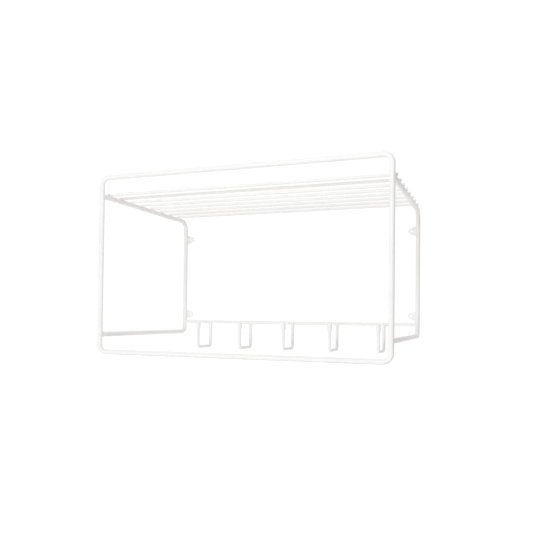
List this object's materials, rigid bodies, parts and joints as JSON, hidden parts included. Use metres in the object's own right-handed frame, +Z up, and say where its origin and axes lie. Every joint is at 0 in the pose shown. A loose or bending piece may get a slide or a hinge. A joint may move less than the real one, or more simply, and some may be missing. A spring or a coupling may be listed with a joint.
{
  "type": "wall hat rack",
  "caption": "Welded white steel rod wall rack: an upright front frame on bent side brackets carries a rod shelf for hats, with capped hooks under a low back rail.",
  "frame": {"origin": "on the wall, at the middle of the rectangle of screw holes", "axes": "+X to the right as seen from the room, +Y into the wall, +Z up"},
  "size_m": [0.6, 0.365, 0.365],
  "materials": {
    "powder_coat": "semi-gloss white powder coat on steel rod",
    "cap_plastic": "smooth white moulded plastic"
  },
  "bodies": {
    "root": {"front_frame": "powder_coat", "left_bracket": "powder_coat", "right_bracket": "powder_coat", "back_rail": "powder_coat", "shelf_rod_1": "powder_coat", "shelf_rod_2": "powder_coat", "shelf_rod_3": "powder_coat", "shelf_rod_4": "powder_coat", "shelf_rod_5": "powder_coat", "shelf_rod_6": "powder_coat", "shelf_rod_7": "powder_coat", "shelf_rod_8": "powder_coat", "hook_1": "powder_coat", "hook_2": "powder_coat", "hook_3": "powder_coat", "hook_4": "powder_coat", "hook_5": "powder_coat", "upper_left_tab": "powder_coat", "lower_left_tab": "powder_coat", "upper_right_tab": "powder_coat", "lower_right_tab": "powder_coat", "hook_cap_1": "cap_plastic", "hook_cap_2": "cap_plastic", "hook_cap_3": "cap_plastic", "hook_cap_4": "cap_plastic", "hook_cap_5": "cap_plastic"}
  },
  "joints": []
}
